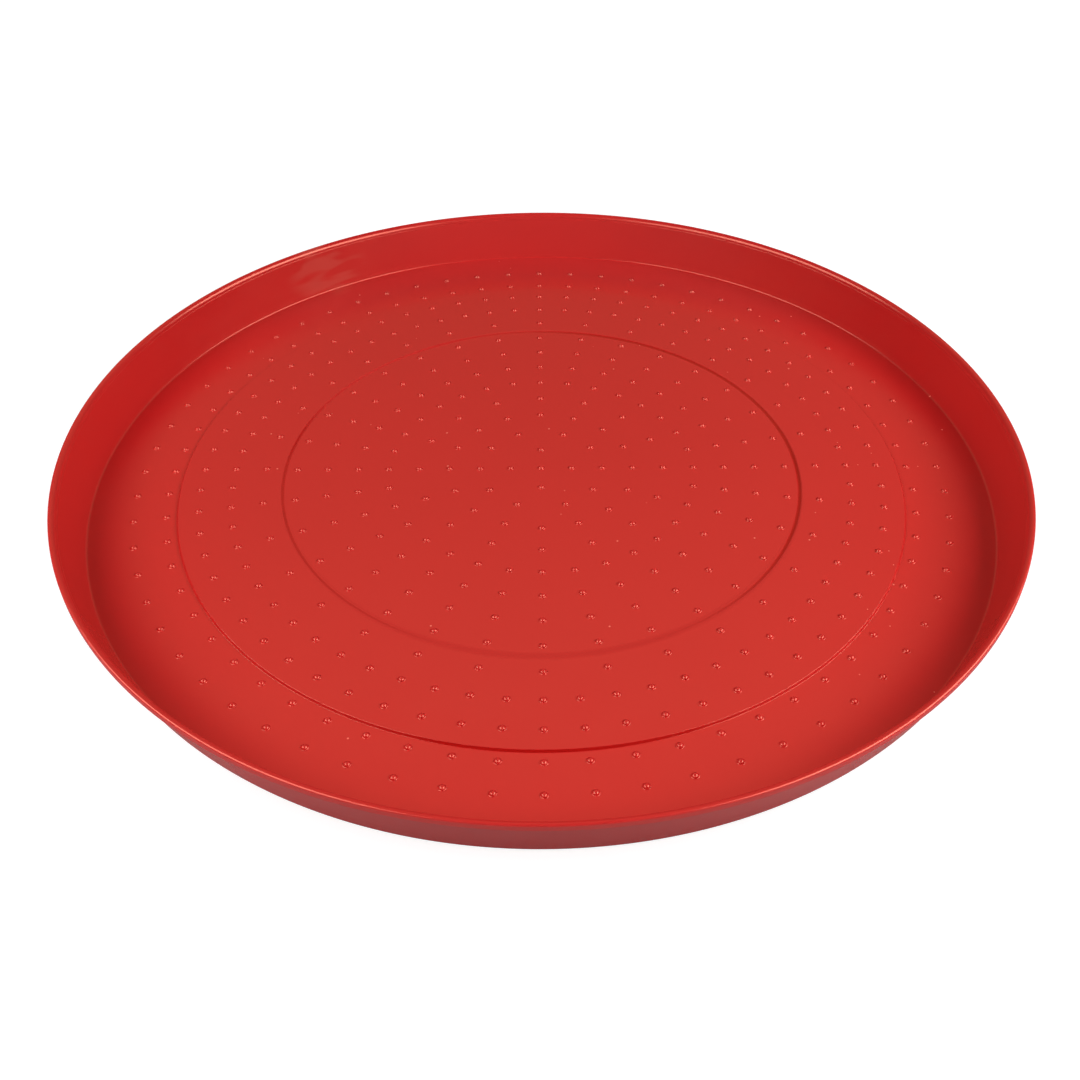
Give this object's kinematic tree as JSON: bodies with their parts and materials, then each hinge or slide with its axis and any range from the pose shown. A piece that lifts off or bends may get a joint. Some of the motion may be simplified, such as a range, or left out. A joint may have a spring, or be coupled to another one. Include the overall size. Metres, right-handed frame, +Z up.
{
  "type": "poultry pan feeder",
  "caption": "Round shallow red plastic feed pan for chicks, with a stepped, pimpled floor, a low leaning wall and a flared rim lip",
  "frame": {"origin": "centre of the ring that the pan stands on, at table height", "axes": "+Z up along the pan's axis; X and Y in the plane that it stands on, with a row of pimples along +X"},
  "size_m": [0.38, 0.38, 0.023],
  "materials": {
    "red_plastic": "glossy injection-moulded polypropylene, one solid red"
  },
  "bodies": {
    "root": {"feed_pan": "red_plastic"}
  },
  "joints": []
}
